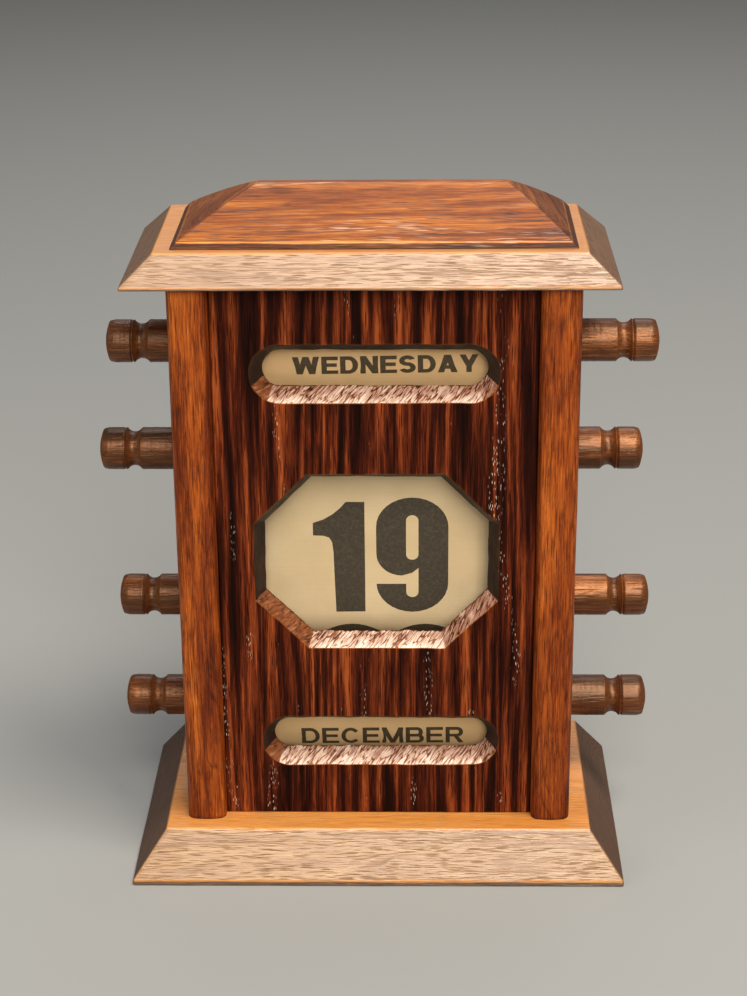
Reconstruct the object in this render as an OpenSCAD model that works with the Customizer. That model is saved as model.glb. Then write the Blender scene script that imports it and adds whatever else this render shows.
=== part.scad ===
// Perpetual desk calendar: a small wooden case with three windows and four turned rollers.
// The top roller carries a drum with the days, the bottom one a drum with the months.
// The two middle rollers wind the date scroll past the octagonal window.
// Millimetres. X runs along the rollers, -Y is the front, +Z is up.
// The origin is the middle of the underside of the base.

/* [Base plinth] */
// Width of the base at its foot
base_w = 127.8; // [112:0.2:140]
// Depth of the base at its foot
base_d = 73.4; // [66:0.2:90]
// Height of the base
base_h = 13.5; // [11:0.1:20]
// Height of the upright lip under the bevel
base_lip_h = 1.6; // [0.8:0.1:4]
// Inward run of the bevel at each end
base_bevel_x = 8.7; // [4:0.1:12]
// Inward run of the bevel at the front and at the back
base_bevel_y = 6.5; // [3:0.1:9]

/* [Case] */
// Width over the two side boards
case_w = 100; // [90:0.5:106]
// Depth from the front edges of the side boards to the outside of the back
case_d = 51.4; // [48:0.1:56]
// Height of the case between the base and the cornice
case_h = 144.8; // [140:0.2:170]
// Thickness of each side board
side_t = 10; // [7:0.1:12]
// Rounding of the two corners of a side board's front edge
nose_r = 2.8; // [1:0.1:3.4]
// Radius of the shallow crown across a side board's front edge
nose_crown_r = 16; // [9:0.5:40]
// Thickness of the front panel
panel_t = 5; // [3:0.1:7]
// How far the front panel lies behind the front edges of the side boards
panel_setback = 3.7; // [3:0.1:6]
// Thickness of the back panel
back_t = 4; // [3:0.1:6]

/* [Windows] */
// Width of the day and month slots at the back of the panel
slot_w = 55.5; // [40:0.5:66]
// Height of the day slot at the back of the panel
day_slot_h = 9.2; // [6:0.1:13]
// Height of the month slot at the back of the panel
month_slot_h = 8.3; // [6:0.1:13]
// How much wider each edge of a slot is at the front than at the back
slot_splay = 2.9; // [0.5:0.1:3.4]
// How far each slot's middle lies below its roller's axis
slot_drop = 0.3; // [0:0.1:2]
// Sideways shift of the month slot, as it is cut
month_slot_shift = 0.7; // [-1.5:0.1:1.5]
// Width of the octagonal date window at the back of the panel
date_win_w = 56.5; // [44:0.5:66]
// Height of the octagonal date window at the back of the panel
date_win_h = 42.7; // [34:0.1:48]
// Length that each corner of the octagon takes off its two sides
date_win_cut = 12; // [6:0.1:16]
// How much wider each edge of the octagon is at the front than at the back
octagon_splay = 2.5; // [0.5:0.1:3]
// Height of the month roller's axis above the base
month_up = 21.8; // [21:0.1:24]
// Depth of the day roller's axis below the cornice
day_down = 22.3; // [21:0.1:25]
// How far the date window's middle lies below the middle of its two rollers
date_win_drop = 0.4; // [0:0.1:2]

/* [Rollers] */
// Diameter of every roller
roller_dia = 11; // [8:0.1:12]
// Length of each turned knob outside the case
knob_out = 20.2; // [15:0.1:26]
// Distance from the end of a knob to the middle of its cove
cove_from_end = 9.2; // [7:0.1:11]
// Width of the cove at the surface
cove_w = 3.8; // [2:0.1:5]
// Depth of the cove
cove_depth = 1.05; // [0.4:0.05:1.6]
// Rounding of the corner at the end of a knob
knob_round = 2.4; // [1:0.1:3.4]
// Radius of the shallow dome on a knob's end
knob_dome_r = 13; // [9:0.5:40]
// Sideways shift of the day roller in its end play
day_shift = 1.4; // [-2:0.1:2]
// Sideways shift of the upper date roller
date_upper_shift = -1.7; // [-2:0.1:2]
// Sideways shift of the lower date roller
date_lower_shift = 1.4; // [-2:0.1:2]
// Sideways shift of the month roller
month_shift = 1.7; // [-2:0.1:2]
// End play on each side between a drum and the side board
end_play = 2.5; // [2.2:0.1:4]

/* [Drums and bands] */
// Gap between the day and month bands and the back of the front panel
drum_front_gap = 4.5; // [3:0.1:7]
// Gap between the same bands and the back panel
drum_back_gap = 2.2; // [1.5:0.1:4]
// Thickness of the printed day and month bands
band_t = 0.3; // [0.2:0.05:0.6]
// Bare wood at each end of a drum, beside its band
band_margin = 1.5; // [0.5:0.1:4]
// Chamfer on the ends of drums and cores
drum_chamfer = 0.6; // [0.2:0.1:1]
// Diameter of the pins that hold a drum or core to its roller
pin_dia = 2; // [1:0.1:2.6]
// Distance between the two pins of a drum or core
pin_spacing = 46; // [30:0.5:56]

/* [Date scroll] */
// Width of the cloth scroll
scroll_w = 70; // [60:0.5:71]
// Thickness of the cloth, with the paper that is printed on it
scroll_t = 0.2; // [0.12:0.01:0.24]
// Distance between two numbers on the scroll
date_pitch = 38; // [30:0.1:40]
// Date that shows in the window
shown_date = 19; // [10:1:22]
// Blank cloth at each end of the scroll
scroll_leader = 60; // [30:1:100]
// Diameter of the wooden cores that the scroll is wound on
date_core_dia = 18; // [15:0.1:19]
// Gap between the upper date roll, with all of the scroll on it, and the day band
upper_roll_gap = 0.6; // [0.4:0.1:3]
// Gap between the lower date roll, with all of the scroll on it, and the month band
lower_roll_gap = 1.3; // [0.6:0.1:4]
// Running gap between the free cloth and the rolls that it leaves
web_gap = 0.3; // [0.2:0.05:0.4]
// How far round each roll the free cloth is drawn
web_curl = 60; // [20:5:80]

/* [Cornice and roof] */
// Width of the cornice slab at its lip
slab_w = 119.8; // [112:0.2:130]
// Depth of the cornice slab at its lip
slab_d = 55.2; // [54:0.2:70]
// Height of the cornice slab
slab_h = 8.1; // [6:0.1:12]
// Thickness of the slab's thin lip
slab_lip_h = 0.8; // [0.4:0.1:2]
// Inward run of the slab's bevel at each end
slab_bevel_x = 7.9; // [4:0.1:9]
// Inward run of the slab's bevel at the front and at the back
slab_bevel_y = 4.5; // [2:0.1:5]
// Sideways shift of the slab on the case, as it is glued
slab_shift = -0.9; // [-1.5:0.1:1.5]
// Width of the flat ledge that a centred slab leaves at each end of the roof cap
ledge_x = 2.9; // [1.6:0.1:4]
// Width of the ledge at the front and at the back
ledge_y = 3; // [0.6:0.1:4]
// Height of the roof cap
cap_h = 11.7; // [8:0.1:16]
// Height of the small riser at the foot of the cap
cap_riser_h = 1.7; // [0.8:0.1:3]
// How far the riser leans in at each end
cap_riser_in_x = 1.7; // [0:0.1:2.4]
// How far it leans in at the front and at the back, where it is almost upright
cap_riser_in_y = 0.2; // [0:0.1:2]
// Length of the ridge
ridge_l = 61.5; // [40:0.5:70]
// Sideways shift of the ridge, as it is planed
ridge_shift = 1.7; // [-3:0.1:3]
// Width of the flat that is sanded on the ridge
ridge_flat = 3; // [1:0.1:6]

/* [Screws] */
// Diameter of the wood screws' shanks
screw_dia = 3; // [2:0.1:3.6]
// Diameter of their countersunk heads
screw_head_dia = 6; // [5:0.1:6.4]
// Length of the base and cornice screws
screw_len = 24; // [18:0.5:30]
// Length of the back screws
back_screw_len = 12; // [9:0.5:13]
// Distance between the front and the back screw of a side board
screw_spacing = 22; // [16:0.5:23]
// Distance of the back screws from the top and bottom of the back
back_screw_inset = 14; // [12:0.5:16]

/* [Fits] */
// Running clearance of a roller in its side board, on the radius
run_fit = 0.08; // [0.05:0.01:0.1]
// Clearance of glued, pinned and screwed pieces, on the radius
seat_fit = 0.05; // [0.02:0.01:0.1]

/* [Hidden] */
$fn = 96;
eps = 0.01;

// Case: planes that the pieces share
inner_w = case_w - 2 * side_t;
case_front = -case_d / 2;
case_back = case_d / 2;
side_back = case_back - back_t;
panel_face = case_front + panel_setback;
panel_back = panel_face + panel_t;
case_z0 = base_h;
case_z1 = case_z0 + case_h;
side_mid_y = (case_front + side_back) / 2;

// Drums and the rollers' common depth
cavity_d = side_back - panel_back;
band_r = (cavity_d - drum_front_gap - drum_back_gap) / 2;
drum_r = band_r - band_t;
roller_y = side_back - drum_back_gap - band_r;
roller_r = roller_dia / 2;
roller_len = case_w + 2 * knob_out;
drum_len = inner_w - 2 * end_play;

// Date scroll: radius of each roll from the length of cloth that is wound on it
last_date = 31;
core_r = date_core_dia / 2;
function roll_r(wound) = sqrt(pow(core_r, 2) + wound * scroll_t / PI);
upper_roll_r = roll_r((shown_date - 0.5) * date_pitch + scroll_leader);
lower_roll_r = roll_r((last_date - shown_date + 0.5) * date_pitch + scroll_leader);
full_roll_r = roll_r((last_date - 0.5) * date_pitch + scroll_leader);

// Heights of the windows and rollers
day_z = case_z1 - day_down;
month_z = case_z0 + month_up;
date_upper_z = day_z - band_r - upper_roll_gap - full_roll_r;
date_lower_z = month_z + band_r + lower_roll_gap + full_roll_r;
date_win_z = (date_upper_z + date_lower_z) / 2 - date_win_drop;

// Free cloth: the line that touches both rolls in front
web_ru = upper_roll_r + web_gap;
web_rl = lower_roll_r + web_gap;
web_axis_gap = date_upper_z - date_lower_z;
web_tilt = asin((web_ru - web_rl) / web_axis_gap);
web_l = sqrt(pow(web_axis_gap, 2) - pow(web_ru - web_rl, 2));

// Cornice and roof
slab_top_w = slab_w - 2 * slab_bevel_x;
slab_top_d = slab_d - 2 * slab_bevel_y;
slab_z1 = case_z1 + slab_h;
cap_w = slab_top_w - 2 * ledge_x;
cap_d = slab_top_d - 2 * ledge_y;

// Screws
screw_r = screw_dia / 2;
screw_head_r = screw_head_dia / 2;
screw_head_h = screw_head_r - screw_r;
screw_point_h = screw_dia;
screw_sink = 0.4;
slot_depth = 0.8;
slot_width = 0.9;
side_mid_x = case_w / 2 - side_t / 2;

WOOD = "#7a3f1c";
DARK_WOOD = "#4a2413";
PALE_WOOD = "#c9995f";
PAPER = "#d9c69a";
BRASS = "#b8964e";
STEEL = "#8d8f92";

// A board lying flat: upright lip, then bevelled on four sides
module bevelled_board(w, d, h, lip, run_x, run_y) {
    intersection() {
        rotate([90, 0, 0])
            linear_extrude(d, center = true)
                polygon([[-w / 2, 0], [w / 2, 0], [w / 2, lip], [w / 2 - run_x, h],
                         [-w / 2 + run_x, h], [-w / 2, lip]]);
        rotate([90, 0, 90])
            linear_extrude(w, center = true)
                polygon([[-d / 2, 0], [d / 2, 0], [d / 2, lip], [d / 2 - run_y, h],
                         [-d / 2 + run_y, h], [-d / 2, lip]]);
    }
}

// Wood screw along +Z, its head's top at the origin and its point downwards
module wood_screw(l) {
    difference() {
        union() {
            translate([0, 0, -screw_head_h])
                cylinder(h = screw_head_h, r1 = screw_r, r2 = screw_head_r);
            translate([0, 0, -l + screw_point_h])
                cylinder(h = l - screw_point_h - screw_head_h, r = screw_r);
            translate([0, 0, -l])
                cylinder(h = screw_point_h, r1 = 0.2, r2 = screw_r);
        }
        translate([-screw_head_r, -slot_width / 2, -slot_depth])
            cube([screw_head_dia, slot_width, slot_depth + eps]);
    }
}

// Hole for that screw, with the countersink open above the head
module screw_hole(l) {
    r = screw_r + seat_fit;
    head_r = screw_head_r + seat_fit;
    translate([0, 0, -l - seat_fit])
        cylinder(h = l + seat_fit, r = r);
    translate([0, 0, -screw_head_h - seat_fit])
        cylinder(h = screw_head_h + seat_fit, r1 = r, r2 = head_r);
    translate([0, 0, -eps])
        cylinder(h = screw_sink + 1, r = head_r);
}

// Places of the screws: each child is drawn once per screw, pointing into the wood
module at_base_screws() {
    for (sx = [-1, 1], sy = [-1, 1])
        translate([sx * side_mid_x, side_mid_y + sy * screw_spacing / 2, screw_sink])
            rotate([180, 0, 0]) children();
}

module at_cornice_screws() {
    for (sx = [-1, 1], sy = [-1, 1])
        translate([sx * side_mid_x, side_mid_y + sy * screw_spacing / 2, slab_z1 - screw_sink])
            children();
}

module at_back_screws() {
    for (sx = [-1, 1], z = [case_z0 + back_screw_inset, case_z1 - back_screw_inset])
        translate([sx * side_mid_x, case_back - screw_sink, z])
            rotate([-90, 0, 0]) children();
}

module base_plinth() {
    color(WOOD)
        difference() {
            bevelled_board(base_w, base_d, base_h, base_lip_h, base_bevel_x, base_bevel_y);
            at_base_screws() screw_hole(screw_len);
        }
}

// Outline of the right side board from above, its front edge rounded and crowned
module side_outline() {
    x0 = case_w / 2 - side_t;
    x1 = case_w / 2;
    mid = (x0 + x1) / 2;
    intersection() {
        union() {
            translate([x0, case_front + nose_r])
                square([side_t, side_back - case_front - nose_r]);
            translate([x0 + nose_r, case_front])
                square([side_t - 2 * nose_r, nose_r + eps]);
            for (x = [x0 + nose_r, x1 - nose_r])
                translate([x, case_front + nose_r]) circle(nose_r);
        }
        union() {
            translate([mid, case_front + nose_crown_r]) circle(nose_crown_r);
            translate([x0 - 1, case_front + nose_r + 1])
                square([side_t + 2, case_d]);
        }
    }
}

module side_board() {
    difference() {
        translate([0, 0, case_z0]) linear_extrude(case_h) side_outline();
        for (z = [day_z, date_upper_z, date_lower_z, month_z])
            translate([0, roller_y, z])
                rotate([0, 90, 0]) cylinder(h = case_w, r = roller_r + run_fit);
        at_base_screws() screw_hole(screw_len);
        at_cornice_screws() screw_hole(screw_len);
        at_back_screws() screw_hole(back_screw_len);
    }
}

module left_side() {
    color(WOOD) mirror([1, 0, 0]) side_board();
}

module right_side() {
    color(WOOD) side_board();
}

// Cutter for a straight wall pair of a window: half is the half width at the panel's back
module splayed_slab(half, length, splay) {
    slope = splay / panel_t;
    reach = 1;
    front = half + splay + slope * reach;
    rear = half - slope * reach;
    rotate([0, 90, 0])
        linear_extrude(length, center = true)
            polygon([[-front, panel_face - reach], [front, panel_face - reach],
                     [rear, panel_back + reach], [-rear, panel_back + reach]]);
}

// Cutter for a round-ended slot with splayed walls, centred on x = z = 0
module slot_cut(w, h) {
    slope = slot_splay / panel_t;
    reach = 1;
    straight = w - h;
    splayed_slab(h / 2, straight, slot_splay);
    for (sx = [-1, 1])
        translate([sx * straight / 2, panel_face - reach, 0])
            rotate([-90, 0, 0])
                cylinder(h = panel_t + 2 * reach,
                         r1 = h / 2 + slot_splay + slope * reach, r2 = h / 2 - slope * reach);
}

// Cutter for the octagonal window: four splayed wall pairs, two upright and two diagonal
module octagon_cut(w, h, cut) {
    diagonal = (w / 2 + h / 2 - cut) * sin(45);
    intersection() {
        splayed_slab(h / 2, 2 * w, octagon_splay);
        rotate([0, 90, 0]) splayed_slab(w / 2, 2 * w, octagon_splay);
        rotate([0, 45, 0]) splayed_slab(diagonal, 3 * w, octagon_splay);
        rotate([0, -45, 0]) splayed_slab(diagonal, 3 * w, octagon_splay);
    }
}

module front_panel() {
    color(DARK_WOOD)
        difference() {
            translate([-inner_w / 2, panel_face, case_z0]) cube([inner_w, panel_t, case_h]);
            translate([0, 0, day_z - slot_drop]) slot_cut(slot_w, day_slot_h);
            translate([month_slot_shift, 0, month_z - slot_drop]) slot_cut(slot_w, month_slot_h);
            translate([0, 0, date_win_z]) octagon_cut(date_win_w, date_win_h, date_win_cut);
        }
}

module back_panel() {
    color(WOOD)
        difference() {
            translate([-case_w / 2, side_back, case_z0]) cube([case_w, back_t, case_h]);
            at_back_screws() screw_hole(back_screw_len);
        }
}

module cornice_slab() {
    color(WOOD)
        difference() {
            translate([slab_shift, 0, case_z1])
                bevelled_board(slab_w, slab_d, slab_h, slab_lip_h, slab_bevel_x, slab_bevel_y);
            at_cornice_screws() screw_hole(screw_len);
        }
}

// Hipped cap: a small riser, then four slopes up to a narrow flat ridge
module roof_cap() {
    end_half = cap_w / 2 - cap_riser_in_x;
    side_half = cap_d / 2 - cap_riser_in_y;
    ridge_x0 = ridge_shift - ridge_l / 2;
    ridge_x1 = ridge_shift + ridge_l / 2;
    color(WOOD)
        translate([0, 0, slab_z1])
            intersection() {
                rotate([90, 0, 0])
                    linear_extrude(cap_d, center = true)
                        polygon([[-cap_w / 2, 0], [cap_w / 2, 0], [end_half, cap_riser_h],
                                 [ridge_x1, cap_h], [ridge_x0, cap_h],
                                 [-end_half, cap_riser_h]]);
                rotate([90, 0, 90])
                    linear_extrude(cap_w, center = true)
                        polygon([[-cap_d / 2, 0], [cap_d / 2, 0], [side_half, cap_riser_h],
                                 [ridge_flat / 2, cap_h], [-ridge_flat / 2, cap_h],
                                 [-side_half, cap_riser_h]]);
            }
}

module base_screws() {
    color(STEEL) at_base_screws() wood_screw(screw_len);
}

module cornice_screws() {
    color(STEEL) at_cornice_screws() wood_screw(screw_len);
}

module back_screws() {
    color(BRASS) at_back_screws() wood_screw(back_screw_len);
}

// Puts a piece drawn along Z on a roller's axis along X
module on_roller(z, shift) {
    translate([shift, roller_y, z]) rotate([0, 90, 0]) children();
}

// Half of a roller in section: shaft, cove and the rounded, domed end of the knob
module roller_half_section() {
    l = roller_len / 2;
    end_zone = knob_round + 1;
    cove_r = (pow(cove_w / 2, 2) + pow(cove_depth, 2)) / (2 * cove_depth);
    difference() {
        union() {
            square([roller_r, l - end_zone]);
            intersection() {
                union() {
                    translate([0, l - end_zone - eps])
                        square([roller_r, end_zone - knob_round + eps]);
                    translate([0, l - end_zone])
                        square([roller_r - knob_round, end_zone]);
                    translate([roller_r - knob_round, l - knob_round]) circle(knob_round);
                }
                translate([0, l - knob_dome_r]) circle(knob_dome_r);
                square([roller_r + 1, l + 1]);
            }
        }
        translate([roller_r + cove_r - cove_depth, l - cove_from_end]) circle(cove_r);
    }
}

// Holes or pins square across a roller
module cross_pins(r, l) {
    for (sz = [-1, 1])
        translate([0, 0, sz * pin_spacing / 2])
            rotate([90, 0, 0]) cylinder(h = l, r = r, center = true);
}

module roller() {
    difference() {
        rotate_extrude() {
            roller_half_section();
            mirror([0, 1]) roller_half_section();
        }
        cross_pins(pin_dia / 2 + seat_fit, roller_dia + 2);
    }
}

// Wooden drum or core that is pinned to a roller
module drum(r) {
    difference() {
        rotate_extrude()
            polygon([[roller_r + seat_fit, -drum_len / 2], [r - drum_chamfer, -drum_len / 2],
                     [r, -drum_len / 2 + drum_chamfer], [r, drum_len / 2 - drum_chamfer],
                     [r - drum_chamfer, drum_len / 2], [roller_r + seat_fit, drum_len / 2]]);
        cross_pins(pin_dia / 2 + seat_fit, 2 * r + 2);
    }
}

module drum_pins(r) {
    cross_pins(pin_dia / 2, 2 * r - 0.4);
}

// Thin sleeve of cloth or paper round a drum or core
module sleeve(r_in, r_out, w) {
    difference() {
        cylinder(h = w, r = r_out, center = true);
        cylinder(h = w + 2, r = r_in, center = true);
    }
}

module band() {
    sleeve(drum_r, band_r, drum_len - 2 * band_margin);
}

module day_roller() {
    color(DARK_WOOD) on_roller(day_z, day_shift) roller();
}

module day_drum() {
    color(PALE_WOOD) on_roller(day_z, day_shift) drum(drum_r);
}

module day_band() {
    color(PAPER) on_roller(day_z, day_shift) band();
}

module day_drum_pins() {
    color(STEEL) on_roller(day_z, day_shift) drum_pins(drum_r);
}

module month_roller() {
    color(DARK_WOOD) on_roller(month_z, month_shift) roller();
}

module month_drum() {
    color(PALE_WOOD) on_roller(month_z, month_shift) drum(drum_r);
}

module month_band() {
    color(PAPER) on_roller(month_z, month_shift) band();
}

module month_drum_pins() {
    color(STEEL) on_roller(month_z, month_shift) drum_pins(drum_r);
}

module date_upper_roller() {
    color(DARK_WOOD) on_roller(date_upper_z, date_upper_shift) roller();
}

module date_upper_core() {
    color(PALE_WOOD) on_roller(date_upper_z, date_upper_shift) drum(core_r);
}

module date_upper_roll() {
    color(PAPER) on_roller(date_upper_z, 0) sleeve(core_r, upper_roll_r, scroll_w);
}

module date_upper_pins() {
    color(STEEL) on_roller(date_upper_z, date_upper_shift) drum_pins(core_r);
}

module date_lower_roller() {
    color(DARK_WOOD) on_roller(date_lower_z, date_lower_shift) roller();
}

module date_lower_core() {
    color(PALE_WOOD) on_roller(date_lower_z, date_lower_shift) drum(core_r);
}

module date_lower_roll() {
    color(PAPER) on_roller(date_lower_z, 0) sleeve(core_r, lower_roll_r, scroll_w);
}

module date_lower_pins() {
    color(STEEL) on_roller(date_lower_z, date_lower_shift) drum_pins(core_r);
}

// Section of cloth bent round a roll, from its front point by the curl angle
module curl_section(r, up) {
    far = 3 * r;
    intersection() {
        difference() {
            circle(r + scroll_t);
            circle(r);
        }
        polygon([[0, 0], [-far, 0], [-far, up * far],
                 [-far * cos(web_curl), up * far * sin(web_curl)]]);
    }
}

// Free cloth of the date scroll, seen in section from the side and leaning by web_tilt
module date_web() {
    color(PAPER)
        translate([0, roller_y, date_lower_z])
            rotate([web_tilt, 0, 0])
                rotate([90, 0, 90])
                    linear_extrude(scroll_w, center = true) {
                        translate([-web_rl - scroll_t, 0]) square([scroll_t, web_l]);
                        curl_section(web_rl, -1);
                        translate([web_ru - web_rl, web_l]) curl_section(web_ru, 1);
                    }
}

base_plinth();
left_side();
right_side();
front_panel();
back_panel();
cornice_slab();
roof_cap();
base_screws();
cornice_screws();
back_screws();
day_roller();
day_drum();
day_band();
day_drum_pins();
date_upper_roller();
date_upper_core();
date_upper_roll();
date_upper_pins();
date_web();
date_lower_roller();
date_lower_core();
date_lower_roll();
date_lower_pins();
month_roller();
month_drum();
month_band();
month_drum_pins();
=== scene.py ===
"""Perpetual desk calendar: the finish of every piece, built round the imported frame.

Lengths are in millimetres until a mesh is made. X runs along the rollers, -Y is the front, +Z is up.
"""

import math

import bmesh
import bpy
import numpy as np
from mathutils import Matrix, Vector
from mathutils.geometry import delaunay_2d_cdt


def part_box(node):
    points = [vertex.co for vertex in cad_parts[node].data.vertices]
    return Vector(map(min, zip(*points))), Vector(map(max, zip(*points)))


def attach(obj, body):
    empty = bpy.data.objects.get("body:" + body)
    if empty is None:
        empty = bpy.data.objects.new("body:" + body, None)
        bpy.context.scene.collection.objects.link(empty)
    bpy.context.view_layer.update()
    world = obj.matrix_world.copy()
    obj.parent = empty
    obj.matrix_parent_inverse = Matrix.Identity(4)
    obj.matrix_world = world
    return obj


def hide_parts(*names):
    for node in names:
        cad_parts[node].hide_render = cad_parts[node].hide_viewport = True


MM = 0.001
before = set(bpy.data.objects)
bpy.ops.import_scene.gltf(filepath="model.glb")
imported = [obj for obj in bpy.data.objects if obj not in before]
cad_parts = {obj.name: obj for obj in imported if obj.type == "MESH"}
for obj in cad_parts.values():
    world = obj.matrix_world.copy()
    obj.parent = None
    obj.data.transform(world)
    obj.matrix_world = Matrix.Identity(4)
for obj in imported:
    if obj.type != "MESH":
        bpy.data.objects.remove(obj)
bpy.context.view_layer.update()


# ---- sizes, read from the frame


def read(items, name):
    """One vector per item of a mesh, as an (n, 3) array."""
    flat = np.zeros(len(items) * 3, np.float32)
    items.foreach_get(name, flat)
    return flat.reshape(-1, 3).astype(float)


def corners(node):
    """Every vertex of a CAD node, as an (n, 3) array."""
    return read(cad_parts[node].data.vertices, "co") / MM


def box(node):
    """Lowest and highest corner of a CAD node."""
    low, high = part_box(node)
    return np.array(low) / MM, np.array(high) / MM


def round_piece(node):
    """(y, z) of the axis of a round piece that lies along X, and its radius."""
    low, high = box(node)
    return (low[1] + high[1]) / 2, (low[2] + high[2]) / 2, (high[2] - low[2]) / 2


panel_low, panel_high = box("front_panel")
roller_y, day_z, band_r = round_piece("day_band")
month_z = round_piece("month_band")[1]
roller_r = round_piece("day_roller")[2]
upper_z, upper_r = round_piece("date_upper_roll")[1:]
lower_z, lower_r = round_piece("date_lower_roll")[1:]
core_r = round_piece("date_upper_core")[2]
roller_heights = [day_z, upper_z, lower_z, month_z]
RUNNING_GAP = 0.08


# ---- steady noise


def hashed(cells, seed):
    """A pseudo-random value from -1 to 1 for each whole-number point of an (n, 3) array.

    The large numbers only mix the bits."""
    i = cells.astype(np.int64)
    n = i[:, 0] * 73856093 ^ i[:, 1] * 19349663 ^ i[:, 2] * 83492791 ^ (seed + 7) * 2654435761
    n = ((n ^ (n >> 13)) * 1274126177) & 0x7FFFFFFF
    n = ((n ^ (n >> 15)) * 2246822519) & 0x7FFFFFFF
    return ((n >> 4) & 0xFFFF) / 32767.5 - 1


def ripple(points, cell, seed=0):
    """Smooth noise from -1 to 1 at points, with lumps about cell millimetres across."""
    scaled = points / np.asarray(cell, float)
    base = np.floor(scaled)
    part = scaled - base
    part = part * part * (3 - 2 * part)
    total = np.zeros(len(points))
    for corner in np.ndindex(2, 2, 2):
        weight = np.prod(np.where(corner, part, 1 - part), axis=1)
        total += weight * hashed(base + corner, seed)
    return total


# ---- mesh tools


def across(axis):
    """The two axes square to one axis."""
    return [k for k in range(3) if k != axis]


def inside(points, loop):
    """Which of the flat points lie inside a closed loop."""
    x, y = points[:, 0:1], points[:, 1:2]
    x0, y0 = loop[:, 0], loop[:, 1]
    x1, y1 = np.roll(x0, -1), np.roll(y0, -1)
    rise = np.where(y1 == y0, 1e-12, y1 - y0)
    crossed = ((y0 > y) != (y1 > y)) & (x < (x1 - x0) * (y - y0) / rise + x0)
    return crossed.sum(axis=1) % 2 == 1


def within(points, solids, holes):
    """Which of the flat points lie in any of the solid loops and in none of the holes."""
    found = np.zeros(len(points), bool)
    for loop in solids:
        found |= inside(points, loop)
    for loop in holes:
        found &= ~inside(points, loop)
    return found


def triangulate(solids, holes, step):
    """Points and triangles, about step across, of the flat shape that the loops bound."""
    points, edges = [], []
    for loop in [*solids, *holes]:
        first, count = len(points), len(loop)
        points += [tuple(p) for p in loop]
        edges += [(first + i, first + (i + 1) % count) for i in range(count)]
    rim = np.array(points)
    clear = (0.45 * step) ** 2
    sides = [np.arange(a + step / 2, b, step) for a, b in zip(rim.min(axis=0), rim.max(axis=0))]
    grid = np.stack(np.meshgrid(*sides), axis=-1).reshape(-1, 2)
    grid = grid[within(grid, solids, holes)]
    far = [np.min(np.sum((rim - g) ** 2, axis=1)) > clear for g in grid]
    flat = [Vector(p) for p in [*points, *grid[np.array(far, bool)]]]
    made, _, faces, *_ = delaunay_2d_cdt(flat, edges, [], 0, 1e-6)
    made, faces = np.array(made), np.array(faces)
    return made, faces[within(made[faces].mean(axis=1), solids, holes)]


class Shape:
    """A mesh in the making: points, faces, a material number per face and a tint per point."""

    def __init__(self):
        self.points, self.tints, self.faces, self.marks = [], [], [], []
        self.count = 0

    def add(self, points, faces, mark=0, tint=0.0):
        self.points.append(np.asarray(points, float))
        self.tints.append(np.zeros(len(points)) + tint)
        self.faces += (np.asarray(faces) + self.count).tolist()
        self.marks += [mark] * len(faces)
        self.count += len(points)

    def loft(self, rings, mark=0, tints=()):
        """Joins rings of equally many points with quads. A ring's tint is a number or one per point."""
        n = len(rings[0])
        a = np.arange(n)
        b = (a + 1) % n
        faces = [
            np.stack([k * n + a, k * n + b, (k + 1) * n + b, (k + 1) * n + a], axis=1)
            for k in range(len(rings) - 1)
        ]
        tint = np.concatenate([np.zeros(n) + t for t in tints or [0] * len(rings)])
        self.add(np.concatenate(rings), np.concatenate(faces), mark, tint)

    def fill(self, outer, holes, axis, step, tint=0.0):
        """Fills the area, square to an axis, inside the ring outer and outside the rings in holes."""
        loops = [ring[:, across(axis)] for ring in [outer, *holes]]
        made, faces = triangulate(loops[:1], loops[1:], step)
        self.add(np.insert(made, axis, outer[0][axis], axis=1), faces, tint=tint)

    def ribbon(self, rings):
        """Joins rings that run out on one face of a ribbon and back on the other, and closes both ends."""
        self.loft(rings)
        n = len(rings[0])
        i = np.arange(n // 2 - 1)
        for ring in (rings[0], rings[-1]):
            self.add(ring, np.stack([i, i + 1, n - 2 - i, n - 1 - i], axis=1))


ROW = 1.0
HOLD = 0.15


def rows_between(start, end):
    """Rings after start, up to end, about ROW apart and with one held close to each of the two."""
    span = np.linalg.norm(end - start, axis=1).mean()
    steps = max(1, round(span / ROW))
    shares = {k / steps for k in range(1, steps + 1)}
    if span > ROW / 2:
        shares |= {HOLD / span, 1 - HOLD / span}
    return [(1 - t) * start + t * end for t in sorted(shares)]


def soften(levels, sizes, faces, edges):
    """Rings through the level rings, rounded at each inner one by its entry in sizes, and their tints.

    A size is a length, or one length per point of the ring. faces are the tints of the faces
    between the levels, and edges those of the rounded inner levels."""
    rings, tints = [levels[0]], [faces[0]]
    for k, size in enumerate(sizes):
        before, level, after = levels[k:k + 3]
        size = np.reshape(size, (-1, 1))
        ends = []
        for other in (before, after):
            reach = np.linalg.norm(other - level, axis=1, keepdims=True)
            share = np.minimum(size / np.maximum(reach, 1e-6), 0.45)
            ends.append(level + (other - level) * share)
        rows = rows_between(rings[-1], ends[0])
        rings += rows
        tints += [faces[k]] * (len(rows) - 1) + [(faces[k] + edges[k]) / 2]
        for t in (0.25, 0.5, 0.75, 1):
            rings.append((1 - t) ** 2 * ends[0] + 2 * t * (1 - t) * level + t * t * ends[1])
            tints.append(edges[k] if t < 1 else (faces[k + 1] + edges[k]) / 2)
    rows = rows_between(rings[-1], levels[-1])
    return rings + rows, tints + [faces[-1]] * len(rows)


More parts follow.
